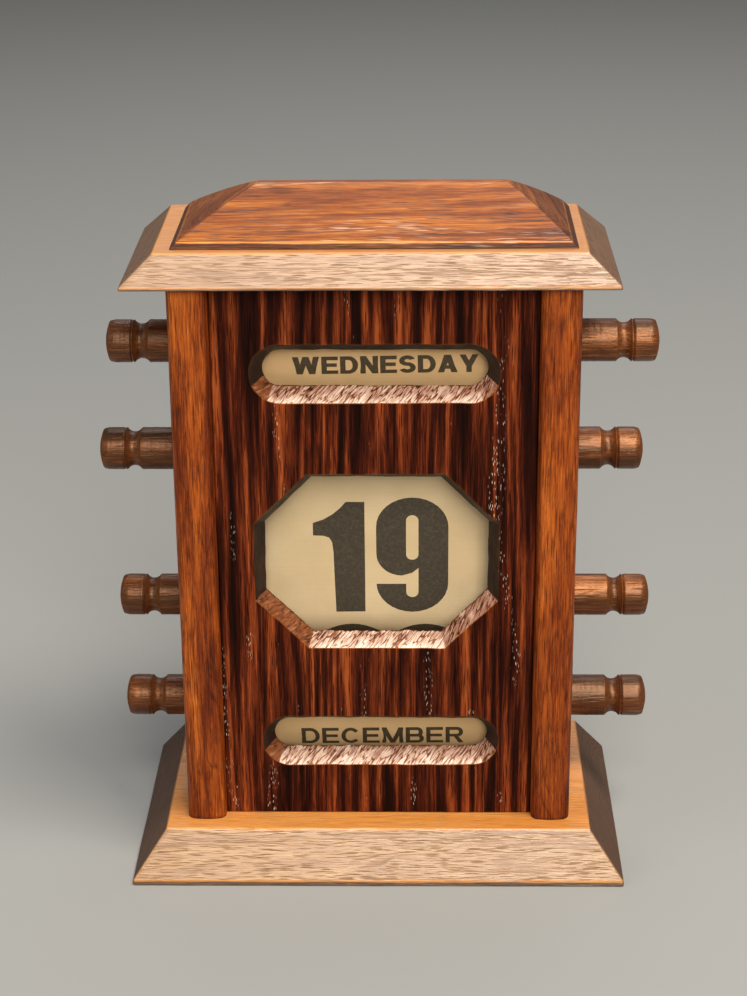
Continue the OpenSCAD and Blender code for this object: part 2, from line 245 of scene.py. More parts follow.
def rectangle_ring(x0, x1, half_y, z, corner, count_x, count_y):
    """Level ring of a rectangle with rounded corners, always with the same number of points."""
    runs = []
    centres = ((x1 - corner, 1), (x0 + corner, 1), (x0 + corner, -1), (x1 - corner, -1))
    for k, (x, side) in enumerate(centres):
        angle = np.linspace(0, np.pi / 2, 5) + k * np.pi / 2
        middle = np.array([x, side * (half_y - corner)])
        runs.append(middle + corner * np.stack([np.cos(angle), np.sin(angle)], axis=1))
    flat = []
    for k, count in enumerate((count_x, count_y, count_x, count_y)):
        start, end = runs[k][-1], runs[(k + 1) % 4][0]
        share = np.linspace(0, 1, count + 2)[1:-1, None]
        flat += [runs[k], start + share * (end - start)]
    flat = np.concatenate(flat)
    return np.insert(flat, 2, z, axis=1)


def circle_ring(place, axis, radius, count=48):
    """Ring of a circle about the point place, square to the axis with that number."""
    angle = np.linspace(0, 2 * np.pi, count, endpoint=False)
    first, second = across(axis)
    flat = [place[first] + radius * np.cos(angle), place[second] + radius * np.sin(angle)]
    return np.insert(np.column_stack(flat), axis, place[axis], axis=1)


def link(name, data):
    """A new object in the scene."""
    thing = bpy.data.objects.new(name, data)
    bpy.context.scene.collection.objects.link(thing)
    return thing


def note(mesh, name, values):
    """Keeps a number per point under a name that the materials read."""
    mesh.attributes.new(name, "FLOAT", "POINT").data.foreach_set("value", values.astype(np.float32))


def make(name, shape, materials, body, slot, stands_for=(), relief=None, ends=None):
    """Turns a shape into a welded, smooth piece that rides on a body.

    relief(points, normals) gives how far each point moves along its normal, and ends(points,
    normals) how far the surface there is end grain."""
    mesh = bpy.data.meshes.new(name)
    mesh.from_pydata((np.concatenate(shape.points) * MM).tolist(), [], shape.faces)
    mesh.polygons.foreach_set("material_index", shape.marks)
    note(mesh, "tint", np.concatenate(shape.tints))
    weld = bmesh.new()
    weld.from_mesh(mesh)
    bmesh.ops.remove_doubles(weld, verts=weld.verts, dist=0.003 * MM)
    bmesh.ops.recalc_face_normals(weld, faces=weld.faces)
    weld.to_mesh(mesh)
    weld.free()
    mesh.polygons.foreach_set("use_smooth", np.ones(len(mesh.polygons), bool))
    points, normals = read(mesh.vertices, "co") / MM, read(mesh.vertex_normals, "vector")
    note(mesh, "ends", ends(points, normals) if ends else np.zeros(len(points)))
    if relief:
        points += normals * relief(points, normals)[:, None]
        mesh.vertices.foreach_set("co", (points * MM).astype(np.float32).ravel())
    for material in materials:
        mesh.materials.append(material)
    mesh.update()
    mesh.set_sharp_from_angle(angle=math.radians(40))
    piece = link(name, mesh)
    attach(piece, body)
    if stands_for:
        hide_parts(*stands_for)
    return piece


def dress(node, *about, **how):
    """The piece that stands for one CAD node."""
    return make(node + "_finish", *about, stands_for=[node], **how)


# ---- materials


def colour(code):
    """Linear colour of a six-digit sRGB code."""
    parts = [int(code[i:i + 2], 16) / 255 for i in (0, 2, 4)]
    return [c / 12.92 if c <= 0.04045 else ((c + 0.055) / 1.055) ** 2.4 for c in parts] + [1]


class Finish:
    """A material and short names for building its nodes."""

    def __init__(self, name, **shader):
        self.material = bpy.data.materials.new(name)
        self.material.use_nodes = True
        self.tree = self.material.node_tree
        self.shader = self.tree.nodes["Principled BSDF"]
        for socket, value in shader.items():
            self.shader.inputs[socket.replace("_", " ")].default_value = value

    def node(self, kind, *values, **settings):
        """A node whose first sockets take values, with links where these are sockets."""
        node = self.tree.nodes.new("ShaderNode" + kind)
        for key, value in settings.items():
            setattr(node, key, value)
        for socket, value in zip(node.inputs, values):
            self.feed(socket, value)
        return node

    def feed(self, socket, value):
        if isinstance(value, bpy.types.NodeSocket):
            self.tree.links.new(value, socket)
        elif value is not None:
            socket.default_value = value

    def calc(self, operation, *values, clamp=False):
        return self.node("Math", *values, operation=operation, use_clamp=clamp).outputs[0]

    def times(self, a, b, clamp=False):
        return self.calc("MULTIPLY", a, b, clamp=clamp)

    def vector(self, x, y, z):
        return self.node("CombineXYZ", x, y, z).outputs[0]

    def noise(self, vector, scale, detail, rough=0.5):
        made = self.node("TexNoise", vector)
        for socket, value in (("Scale", scale), ("Detail", detail), ("Roughness", rough)):
            made.inputs[socket].default_value = value
        return made.outputs[0]

    def cells(self, vector, scale):
        """Distance to the nearest of scattered points."""
        made = self.node("TexVoronoi", vector)
        made.inputs["Scale"].default_value = scale
        return made.outputs["Distance"]

    def between(self, value, low, high, to_low=0.0, to_high=1.0):
        """value, spread from low..high to to_low..to_high and held there."""
        return self.node("MapRange", value, low, high, to_low, to_high).outputs[0]

    def lines(self, noise, width, peak=1.0):
        """peak along the thin lines where a noise passes its middle, and 0 away from them."""
        off = self.calc("ABSOLUTE", self.calc("SUBTRACT", noise, 0.5))
        return self.between(off, 0.0, width, peak, 0.0)

    def ramp(self, value, stops):
        """Colour at value among (place, colour code) stops."""
        made = self.node("ValToRGB", value)
        band = made.color_ramp.elements
        band.remove(band[1])
        band[0].position, band[0].color = stops[0][0], colour(stops[0][1])
        for place, code in stops[1:]:
            band.new(place).color = colour(code)
        return made.outputs[0]

    def mix(self, share, a, b, blend="MIX"):
        made = self.node("Mix", data_type="RGBA", blend_type=blend)
        for k, value in ((0, share), (6, a), (7, b)):
            self.feed(made.inputs[k], value)
        return made.outputs[2]

    def spot(self, offset=(0, 0, 0)):
        """The point on the piece, in millimetres, after a shift."""
        point = self.node("TexCoord").outputs["Object"]
        scaled = self.node("VectorMath", point, [1 / MM] * 3, operation="MULTIPLY").outputs[0]
        return self.node("VectorMath", scaled, list(offset), operation="ADD").outputs[0]

    def place(self, offset=(0, 0, 0)):
        """x, y and z of that point."""
        return self.node("SeparateXYZ", self.spot(offset)).outputs[:3]

    def tint(self, name="tint"):
        """The number per point that a mesh keeps under a name."""
        return self.node("Attribute", attribute_name=name).outputs["Fac"]

    def bump(self, height, depth, strength):
        """Raises the surface by depth millimetres where height is 1."""
        made = self.node("Bump")
        for socket, value in (("Strength", strength), ("Distance", depth * MM), ("Height", height)):
            self.feed(made.inputs[socket], value)
        for socket in ("Normal", "Coat Normal"):
            self.feed(self.shader.inputs[socket], made.outputs[0])

    def paint(self, base, roughness=None):
        self.feed(self.shader.inputs["Base Color"], base)
        self.feed(self.shader.inputs["Roughness"], roughness)
        return self.material


def oak(name, grain, tones, seed, pith, shine, gloss, rough=0.4, rings=(0.46, 0.5, 0.15),
        pores=(2.2, 0.26, 0.85), flecks=0.0, wax=(0.0, 0.06), ends="4a2716", glint="ffffff"):
    """Stained oak.

    grain is the axis that it runs along and pith where the heart of the tree lay. shine and gloss
    are the strengths of the wood's own reflection and of the polish. rings are the fineness, the
    share and the softness of the growth rings, and pores are the fineness, the size and the
    darkness of the pores. flecks is the share of the dark rays, wax the share and the shortness of
    the pores that are filled with pale wax, ends the end grain's tone and glint the reflection's."""
    f = Finish(name, Coat_Roughness=0.28, Specular_IOR_Level=shine, Specular_Tint=colour(glint))
    ring_scale, ring_share, ring_soft = rings
    pore_scale, pore_size, pore_dark = pores
    wax_share, wax_stretch = wax
    shift = [seed * v for v in (37.3, 71.9, 53.1)]
    xyz = f.place(shift)
    along, first, second = (xyz[(grain + k) % 3] for k in range(3))

    def drawn(stretch):
        return f.vector(first, second, f.times(along, stretch))

    drift = f.noise(drawn(0.08), 0.06, 2)
    away = [
        f.calc("SUBTRACT", value, pith[k] + shift[(grain + 1 + k) % 3])
        for k, value in enumerate((first, second))
    ]
    ring = f.calc("SQRT", f.calc("ADD", *[f.times(v, v) for v in away]))
    ring = f.calc("MULTIPLY_ADD", drift, 9.0, ring)
    slow = f.times(along, 0.03)
    bands = f.noise(f.vector(ring, slow, f.times(second, 0.04)), ring_scale, 3, 0.55)
    streaks = f.noise(drawn(0.035), 3.0, 4, 0.8)
    blotch = f.noise(drawn(0.35), 0.07, 2)
    tone = f.calc("MULTIPLY_ADD", streaks, 1 - ring_share, f.times(bands, ring_share))
    tone = f.calc("MULTIPLY_ADD", f.calc("SUBTRACT", blotch, 0.5), 0.14, tone)
    wood = f.ramp(f.between(tone, 0.5 - ring_soft, 0.5 + ring_soft), tones)
    dark = f.mix(1.0, wood, colour("4a2616"), "MULTIPLY")

    vein = f.lines(f.noise(f.vector(ring, slow, 0.0), 1.25, 1), 0.045)
    vein = f.times(vein, f.between(f.noise(drawn(0.03), 0.4, 2), 0.40, 0.60))
    early = f.between(bands, 0.40, 0.56, 0.2, 1.0)
    end = f.tint("ends")
    side = f.calc("SUBTRACT", 1.0, end, clamp=True)
    hollow = f.between(f.cells(drawn(0.05), pore_scale), pore_size - 0.08, pore_size + 0.08, 1.0, 0.0)
    hollow = f.times(hollow, f.times(early, side))
    rays = f.between(f.noise(drawn(0.2), 0.55, 4, 0.72), 0.52, 0.66, 0.0, flecks)
    marks = f.calc("MAXIMUM", f.calc("MAXIMUM", f.times(vein, 0.8), hollow), rays)
    wood = f.mix(f.times(marks, pore_dark), wood, dark)

    if wax_share:
        scarce = 0.64 - 0.12 * wax_share
        patch = f.between(f.noise(drawn(0.10), 0.24, 3), scarce, scarce + 0.08)
        filled = f.between(f.cells(drawn(wax_stretch), 3.2), 0.16, 0.28, 0.85, 0.0)
        wood = f.mix(f.times(filled, patch), wood, colour("e6cdb4"))
    # Where the tint is above zero: paler orange worn edges, partly real wear and partly painted highlight,
    # and painted light on the top faces. Where it is below zero: painted shade.
    worn_edge_and_light = f.times(f.tint(), f.between(streaks, 0.35, 0.6, 0.45, 1.0), clamp=True)
    painted_shade = f.times(f.tint(), f.between(streaks, 0.35, 0.6, -0.95, -0.7), clamp=True)
    wood = f.mix(worn_edge_and_light, wood, f.mix(0.7, wood, colour("f59a38")))
    # painted shade, dark brown, where the tint is below zero
    wood = f.mix(painted_shade, wood, colour("261209"))
    cut_end = f.ramp(f.between(f.noise(drawn(1.0), 1.6, 4, 0.7), 0.3, 0.7), [(0.0, "140a06"), (1.0, ends)])
    wood = f.mix(f.times(end, 0.88), wood, cut_end)

    if gloss:
        polished = f.calc("MULTIPLY_ADD", marks, -0.8, side, clamp=True)
        f.feed(f.shader.inputs["Coat Weight"], f.times(polished, gloss))
    f.bump(f.calc("MULTIPLY_ADD", marks, -1.0, f.times(streaks, 0.8)), 0.11, 0.7)
    open_grain = f.calc("MULTIPLY_ADD", end, 0.45, f.times(marks, 0.2))
    dull = f.between(tone, 0.3, 0.7, rough + 0.06, rough - 0.04)
    return f.paint(wood, f.calc("ADD", dull, open_grain))


def plain_wood(name, tones, seed):
    """Unfinished pale wood of the drums and cores, its grain along X."""
    f = Finish(name, Specular_IOR_Level=0.3)
    x, y, z = f.place((seed * 13.0, 0, 0))
    streaks = f.noise(f.vector(f.times(x, 0.05), y, z), 0.9, 4, 0.6)
    f.bump(streaks, 0.06, 0.5)
    return f.paint(f.ramp(streaks, tones), f.between(streaks, 0.3, 0.7, 0.7, 0.55))


def cut_wood(name):
    """Hand-cut walls of the windows: nearly black, but raw and pale where the tool marks catch light."""
    f = Finish(name, Specular_IOR_Level=0.35)
    x, y, z = f.place()
    strokes_at = f.vector(f.calc("MULTIPLY_ADD", y, -0.7, x), f.times(y, 0.22), f.times(z, 0.22))
    strokes = f.noise(strokes_at, 1.9, 2, 0.6)
    grit = f.noise(f.spot(), 2.6, 3, 0.7)
    rough = f.calc("MULTIPLY_ADD", strokes, 0.7, f.times(grit, 0.3))
    nick = f.lines(f.noise(strokes_at, 1.0, 1), 0.06, -0.4)
    # The tint paints light and shade by wall direction, and the tool marks show most on the lit sills.
    spread = f.between(f.tint(), 0.05, 0.6, 0.12, 0.85)
    mark = f.calc("MULTIPLY_ADD", f.calc("SUBTRACT", rough, 0.5), spread, f.tint())
    mark = f.calc("ADD", mark, f.times(nick, f.between(f.tint(), 0.3, 0.5)))
    # Ramp from near-black painted shade, through the warm and mauve slants, to pale painted light and
    # near-white painted highlights on the sills.
    stops = [
        (0.0, "140906"), (0.2, "331b10"), (0.36, "7d4420"), (0.5, "9c6f5a"), (0.66, "cbae98"),
        (0.9, "ecdfd2"),
    ]
    f.bump(rough, 0.16, 0.8)
    return f.paint(f.ramp(mark, stops), f.between(grit, 0.3, 0.7, 0.6, 0.42))


def paper(name, tones, weave_pitch=0.52):
    """Aged paper on linen: a faint square weave, soft stains and a dull surface."""
    f = Finish(name, Specular_IOR_Level=0.25)
    x, y, z = f.place()
    turn = 2 * math.pi / weave_pitch
    wander = f.times(f.noise(f.spot(), 0.25, 2), 3.0)
    warp = f.calc("SINE", f.calc("MULTIPLY_ADD", x, turn, wander))
    height = f.calc("SUBTRACT", z, y)
    weft = f.calc("SINE", f.calc("MULTIPLY_ADD", height, turn * 0.9, wander))
    threads = f.noise(f.vector(f.times(x, 0.15), y, f.times(z, 2.0)), 1.2, 2)
    cloth = f.calc("MULTIPLY_ADD", warp, 0.25, f.calc("MULTIPLY_ADD", weft, 0.35, threads))
    base = f.ramp(f.between(f.noise(f.spot(), 0.05, 4, 0.6), 0.3, 0.7), tones)
    base = f.mix(f.between(cloth, 0.0, 1.2, 0.10, 0.0), base, colour("8a7448"))
    f.bump(cloth, 0.03, 0.35)
    return f.paint(base, 0.78)


def ink(name, code):
    """Ink, rubbed thin here and there."""
    f = Finish(name, Specular_IOR_Level=0.3)
    wear = f.between(f.noise(f.spot(), 1.3, 3, 0.6), 0.45, 0.8, 0.0, 0.22)
    return f.paint(f.mix(wear, colour(code), colour("8b7b5e")), 0.6)


def metal(name, code, rough):
    """Metal with dull, dark patches."""
    f = Finish(name, Metallic=1.0)
    wear = f.noise(f.spot(), 1.1, 3, 0.6)
    base = f.mix(f.between(wear, 0.4, 0.75, 0.0, 0.5), colour(code), colour("4b4238"))
    return f.paint(base, f.between(wear, 0.3, 0.7, rough, rough + 0.2))


CASE_TONES = [(0.0, "3e1405"), (0.3, "64270b"), (0.55, "8e4112"), (0.8, "b0591d"), (1.0, "cd7730")]
PANEL_TONES = [(0.0, "170603"), (0.3, "2e0e06"), (0.5, "481b0b"), (0.72, "6c2d14"), (1.0, "994b22")]
BASE_TONES = [(0.0, "6c4524"), (0.3, "8f6439"), (0.6, "a97d4c"), (1.0, "be9763")]
SLAB_TONES = [(0.0, "6c472c"), (0.3, "8d6645"), (0.6, "a67f5a"), (1.0, "bb9871")]
ROOF_TONES = [(0.0, "48200b"), (0.3, "763910"), (0.6, "98531c"), (1.0, "bd7632")]
KNOB_TONES = [(0.0, "120502"), (0.35, "301206"), (0.65, "592a0e"), (1.0, "9a5a28")]


# ---- wooden case


FIBRE = 0.02


def grain_relief(grain, seed, wave=0.06):
    """Relief of hand-worked wood: slow waves, and fine fibres along the grain axis."""
    cell = np.full(3, 0.9)
    cell[grain] = 14.0

    def relief(points, normals):
        return ripple(points, 17.0, seed) * wave + ripple(points, cell, seed + 1) * FIBRE

    return relief


def end_grain(grain):
    """1 where the surface cuts square across the grain, and 0 along it."""
    return lambda points, normals: np.clip(np.abs(normals[:, grain]) * 2.0 - 0.6, 0, 1)


def worn(ring, size, seed):
    """Rounding of an edge at each point of a ring, more in some places than in others."""
    return size * (1 + 0.55 * ripple(ring, 7.0, seed) + 0.25 * ripple(ring, 2.2, seed + 1))


def wooden(node, shape, material, grain, seed, wave=0.06):
    """A piece of the case in hand-worked wood, with its grain along an axis."""
    return dress(
        node, shape, [material], "case", "stained_oak",
        relief=grain_relief(grain, seed, wave), ends=end_grain(grain),
    )


def screw_heads(node, axis):
    """Middle of each of the four screws of a node that stand along an axis, and their radius."""
    points = corners(node)
    middle = (points.min(axis=0) + points.max(axis=0)) / 2
    found = []
    for signs in ((-1, -1), (1, -1), (-1, 1), (1, 1)):
        chosen = np.ones(len(points), bool)
        for k, sign in zip(across(axis), signs):
            chosen &= (points[:, k] - middle[k]) * sign > 0
        low, high = points[chosen].min(axis=0), points[chosen].max(axis=0)
        found.append((low + high) / 2)
    return found, (high - low)[across(axis)[0]] / 2


def sink(shape, place, axis, surface, depth, radius):
    """Wall and floor of a round recess, from surface to surface + depth. Gives the ring at its mouth."""
    rings = []
    for share, extra in ((0, 0.12), (0.12, 0.0), (1, 0.0)):
        at = np.array(place, float)
        at[axis] = surface + share * depth
        rings.append(circle_ring(at, axis, radius + extra))
    shape.loft(rings)
    shape.fill(rings[-1], [], axis, 1.0)
    return rings[0]


def board_levels(node):
    """(lowest x, highest x, half depth, z) of each level of a board that narrows upwards."""
    points = corners(node)
    heights = np.round(points[:, 2], 2)
    levels = []
    for z in np.unique(heights)[::-1]:
        x, y = points[heights == z][:, :2].T
        level = np.array([x.min(), x.max(), y.max(), z])
        if not levels or np.all((level - levels[0])[:3] * [-1, 1, 1] > -0.01):
            levels.insert(0, level)
    return levels


RIM = 1.2
BOARD_STEP = 1.1
SWELL_WEAR = 3.0
RECESS_DEPTH = 1.6


def board(node, material, seed, wear, faces, edges, bulge=0.0, corner=0.5, recesses=((), 0)):
    """A board that lies flat: its CAD levels, with worn edges and hand-worked faces.

    wear and edges are the rounding and the tint of each edge from the lowest up, and faces are the
    tints of the faces from the underside to the top. bulge swells the last slope, and recesses are
    (places, radius) of screw heads in the underside."""
    levels = board_levels(node)
    foot, top = levels[0], levels[-1]
    if bulge:
        below, slope = levels[-2], levels[-1] - levels[-2]
        out = np.array([-1, 1, 1, 1]) * bulge * 0.6
        levels[-1:-1] = [below + t * slope + 4 * t * (1 - t) * out for t in (0.25, 0.5, 0.75)]
        wear = [*wear[:-1], *[SWELL_WEAR] * 3, wear[-1]]
        edges = [*edges[:-1], 0, 0, 0, edges[-1]]
        faces = [*faces[:-1], 0, 0, 0, faces[-1]]
    counts = [round((foot[1] - foot[0]) / BOARD_STEP), round(2 * foot[2] / BOARD_STEP)]
    inward = np.array([1, -1, -1, 0])
    plan = [foot + RIM * inward, *levels, top + min(RIM, 0.6 * top[2]) * inward]
    rings = [
        rectangle_ring(x0, x1, half_y, z, min(corner, 0.7 * half_y), *counts)
        for x0, x1, half_y, z in plan
    ]
    sizes = [worn(rings[k + 1], size, seed + 5 * k) for k, size in enumerate(wear)]
    rings, tints = soften(rings, sizes, faces, edges)
    shape = Shape()
    shape.loft(rings, tints=tints)
    shape.fill(rings[-1], [], 2, 2.0, tint=faces[-1])
    places, radius = recesses
    mouths = [sink(shape, place, 2, foot[3], RECESS_DEPTH, radius) for place in places]
    shape.fill(rings[0], mouths, 2, 4.0)
    return wooden(node, shape, material, 0, seed)


NOSE_R = 2.8
NOSE_CROWN_R = 16.0
ARRIS = 0.3


def sag(radius, reach):
    """How far an arc of a radius falls back at some reach from its crown."""
    return radius - math.sqrt(radius ** 2 - reach ** 2)


def walk(a0, a1, b0, b1, count_a, count_b):
    """Flat points round a rectangle, which set out from (a0, b0) along a."""
    a, b = np.linspace(a0, a1, count_a)[:-1], np.linspace(b0, b1, count_b)[:-1]
    still_a, still_b = np.ones(len(a)), np.ones(len(b))
    return np.column_stack([
        np.concatenate([a, a1 * still_b, a0 + a1 - a, a0 * still_b]),
        np.concatenate([b0 * still_a, b, b1 * still_a, b0 + b1 - b]),
    ])


def side_board(node, material, seed):
    """A side board, built through its thickness: rounded nose in front and four bores for the rollers."""
    low, high = box(node)
    thickness = high[0] - low[0]
    corner = NOSE_R * (1 - np.cos(np.linspace(0, np.pi / 2, 9)))
    middle = np.linspace(NOSE_R, thickness - NOSE_R, 9)[1:-1]
    rings, bores = [], [[] for _ in roller_heights]
    for step in np.concatenate([corner, middle, thickness - corner[::-1]]):
        edge = min(step, thickness - step)
        round_off, crown = sag(NOSE_R, max(0, NOSE_R - edge)), sag(NOSE_CROWN_R, thickness / 2 - step)
        nose = low[1] + max(round_off, crown)
        chamfer = max(0, ARRIS - edge)
        flat = walk(low[2] + chamfer, high[2] - chamfer, nose, high[1] - chamfer, 150, 44)[:, ::-1]
        x = low[0] + step
        rings.append(np.insert(flat, 0, x, axis=1))
        for bore, height in zip(bores, roller_heights):
            bore.append(circle_ring((x, roller_y, height), 0, roller_r + RUNNING_GAP + chamfer))
    shape = Shape()
    for tube in (rings, *bores):
        shape.loft(tube)
    for k in (0, -1):
        shape.fill(rings[k], [bore[k] for bore in bores], 0, 2.5)
    return wooden(node, shape, material, 2, seed)


def upright_ring(low, high, inset, y, count_x, count_z):
    """Ring of an upright rectangle that faces the front, inset from the box low..high."""
    flat = walk(low[0] + inset, high[0] - inset, low[2] + inset, high[2] - inset, count_x, count_z)
    return np.insert(flat, 1, y, axis=1)


def window_size(z_low, z_high, y):
    """Middle, half width, half height and half length of the upright end of a window at depth y."""
    points = corners("front_panel")
    at = points[(np.abs(points[:, 1] - y) < 0.01) & (points[:, 2] > z_low) & (points[:, 2] < z_high)]
    at = at[np.abs(at[:, 0]) < panel_high[0] - 0.5][:, [0, 2]]
    low, high = at.min(axis=0), at.max(axis=0)
    ends = at[at[:, 0] > high[0] - 0.01][:, 1]
    return (low + high) / 2, *((high - low) / 2), (ends.max() - ends.min()) / 2


def window_ring(size, y, count):
    """Ring of a window: an octagon where its ends have a length, and else a slot with round ends."""
    middle, half_x, half_z, half_end = size
    if half_end > 1:
        cut = half_z - half_end
        points = [(half_x, half_end), (half_x - cut, half_z)]
        points += [(-x, z) for x, z in points[::-1]]
        points += [(-x, -z) for x, z in points]
        share = count // 8
        ring = [
            np.array(a) + (np.array(b) - a) * k / share
            for a, b in zip(points, points[1:] + points[:1])
            for k in range(share)
        ]
    else:
        quarter = count // 4
        angle = np.linspace(-np.pi / 2, np.pi / 2, quarter)
        end = np.column_stack([half_x - half_z + half_z * np.cos(angle), half_z * np.sin(angle)])
        run = np.linspace(half_x - half_z, half_z - half_x, quarter + 2)[1:-1]
        top = np.column_stack([run, np.full(quarter, half_z)])
        ring = np.concatenate([end, top, -end, -top])
    return np.insert(np.array(ring) + middle, 1, y, axis=1)


def outward(ring):
    """Direction out of an upright ring at each of its points."""
    tangent = np.roll(ring, -1, axis=0) - np.roll(ring, 1, axis=0)
    out = np.column_stack([tangent[:, 2], 0 * tangent[:, 0], -tangent[:, 0]])
    return out / np.linalg.norm(out, axis=1, keepdims=True)


def wider(ring, margin):
    """The upright ring, margin wider on every side."""
    return ring + outward(ring) * margin


WALL_ROWS = 14
SILL = 0.9
SLANT = 0.4


def window_walls(z_low, z_high, seed, gouge_pitch, count, pale):
    """Rings of the splayed, hand-cut walls of one window from front to back, and a tint for each point.

    A wall is a sill or a slant by how far its direction points down. The tint paints light and shade by
    that direction. Sills get pale painted light on the raw wood, brightest at the front, with gouge marks
    across them. The slants are lit differently left and right, and the other walls get near-black painted
    shade."""
    depths = [panel_low[1], panel_high[1]]
    front, back = [window_ring(window_size(z_low, z_high, y), y, count) for y in depths]
    out = outward(front)
    down = np.clip(-out[:, 2], 0, 1)
    sill = down > SILL
    # painted light on the lower slants: the right-hand slant paler than the left-hand one
    slant_light = np.where(out[:, 0] < 0, 0.36, 0.5)
    # painted shade, near-black, on the walls that face down or sideways
    wall_light = np.where((down > SLANT) & ~sill, slant_light, 0.08)
    rings, tints = [], []
    for depth in np.arange(WALL_ROWS + 1) / WALL_ROWS:
        ring = (1 - depth) * front + depth * back
        flow = ring * [1, 1.4, 1]
        cut = 0.14 * ripple(flow, 4.0, seed) + 0.05 * ripple(flow, 1.3, seed + 1)
        skewed = ring * [1, 0, 0] + [-3.5 * depth, depth, 0]
        gouge = ripple(skewed, (gouge_pitch / 2, 1.5, 1), seed + 3) * sill
        cut += 0.12 * gouge * min(1, 3 * depth)
        rings.append(ring + out * cut[:, None])
        # painted light on the sills, brightest at the front edge and darker deeper in
        sill_light = pale + 0.08 * gouge + 0.18 * (1 - depth) ** 3
        tints.append(np.where(sill, sill_light, wall_light) + 0.06 * ripple(flow, 2.0, seed + 2))
    return rings, tints


WORN_RIM = 0.3


def front_panel(wood, cut):
    """The front panel, with its three windows cut through by hand."""
    # The last number of each window is the painted light of its sills.
    day_window = (day_z - 20, day_z + 20, 11, 3.7, 280, 0.54)
    date_window = (month_z + 20, day_z - 20, 23, 2.6, 416, 0.60)
    month_window = (month_z - 20, month_z + 20, 37, 1.8, 280, 0.57)
    walls = [window_walls(*window) for window in (day_window, date_window, month_window)]
    y0, y1 = panel_low[1], panel_high[1]
    rings = [
        upright_ring(panel_low, panel_high, inset, y, 54, 98)
        for inset, y in ((ARRIS, y0), (0, y0 + ARRIS), (0, y1 - ARRIS), (ARRIS, y1))
    ]
    mouths = [wider(rows[0], WORN_RIM) for rows, _ in walls]
    shape = Shape()
    shape.loft(rings)
    shape.fill(rings[0], mouths, 1, 1.6)
    shape.fill(rings[-1], [rows[-1] for rows, _ in walls], 1, 4.0)
    for mouth, (rows, tints) in zip(mouths, walls):
        # The rim strip fades from no tint to the wall's tint, so the oak there takes painted light beside
        # the sills.
        shape.loft([mouth, rows[0]], tints=[0, tints[0]])
        shape.loft(rows, 1, tints)
    return dress(
        "front_panel", shape, [wood, cut], "case", "dark_oak", relief=grain_relief(2, 51, 0.03)
    )


def back_panel(material):
    """The back panel, its outer edges worn and four recesses for its screws."""
    low, high = box("back_panel")
    places, radius = screw_heads("back_screws", 1)
    plan = [(1.5, low[1]), (0, low[1]), (0, high[1]), (1.5, high[1])]
    rings = [upright_ring(low, high, inset, y, 84, 121) for inset, y in plan]
    wear = [worn(rings[1], 0.15, 61), worn(rings[2], 0.7, 62)]
    rings, tints = soften(rings, wear, (0, 0, 0), (0, 0.7))
    shape = Shape()
    shape.loft(rings, tints=tints)
    shape.fill(rings[0], [], 1, 4.0)
    mouths = [sink(shape, place, 1, high[1], -1.4, radius + 0.05) for place in places]
    shape.fill(rings[-1], mouths, 1, 2.5)
    return wooden("back_panel", shape, material, 2, 63, 0.05)


# ---- turned rollers

KNOB_OUT = 20.2
KNOB_ROUND = 2.4
KNOB_DOME_R = 13.0
COVE_AT = 9.2
COVE_W = 3.8
COVE_DEPTH = 1.05
GROOVE = 0.30
GROOVE_OFF = 0.45
INTO_BORE = 0.6
TURNING_STEP = 0.22


def knob_profile(cove_shift):
    """(distance from the tip, radius) along one knob, from its tip to just inside the side board."""
    profile = []
    for r in np.linspace(0, roller_r, 20)[:-1]:
        past = max(0, r - (roller_r - KNOB_ROUND))
        profile.append((max(sag(KNOB_DOME_R, r), sag(KNOB_ROUND, past)), r))
    cove_r = ((COVE_W / 2) ** 2 + COVE_DEPTH ** 2) / (2 * COVE_DEPTH)
    middle = COVE_AT + cove_shift
    groove = middle - COVE_W / 2 - GROOVE_OFF
    for s in np.arange(KNOB_ROUND, KNOB_OUT + INTO_BORE, TURNING_STEP):
        r = roller_r
        if abs(s - middle) < COVE_W / 2:
            r += sag(cove_r, s - middle) - COVE_DEPTH
        r -= GROOVE * max(0, 1 - abs(s - groove) / GROOVE)
        profile.append((s, r))
    return profile


def lathe(centre, profile, count, wobble, seed):
    """Rings about an axis along X through centre = (y, z). profile has (x, radius) points."""
    angle = np.linspace(0, 2 * np.pi, count, endpoint=False)
    rings = []
    for x, r in profile:
        spot = np.column_stack([np.full(count, x / 6), 3 * np.cos(angle), 3 * np.sin(angle)])
        uneven = r + wobble * ripple(spot, 2.0, seed) * min(1, r / 2)
        rings.append(circle_ring((x, *centre), 0, uneven, count))
    return rings


def roller(node, body, material, seed):
    """A turned roller with a knob at either end, faintly ridged by the tool."""
    low, high = box(node)
    shifts = hashed(np.array([[seed, 1, 0], [seed, 2, 0]]), 5) * 0.2
    left, right = knob_profile(shifts[0]), knob_profile(shifts[1])
    inner = np.arange(low[0] + KNOB_OUT + 2, high[0] - KNOB_OUT - 1, 2.5)
    profile = [
        *[(low[0] + s, r) for s, r in left], *[(x, roller_r) for x in inner],
        *[(high[0] - s, r) for s, r in right[::-1]],
    ]
    shape = Shape()
    shape.loft(lathe((roller_y, round_piece(node)[1]), profile, 64, 0.07, seed))

    def relief(points, normals):
        tool = ripple(points, (0.55, 40, 40), seed + 9) * 0.022
        return tool + grain_relief(0, seed, 0.02)(points, normals) - 0.03

    return dress(node, shape, [material], body, "turned_oak", relief=relief, ends=end_grain(0))


# ---- bands and scroll

BAND_T = 0.3
BAND_BEVEL = 0.08
CLOTH_T = 0.2
SEAM = 0.12


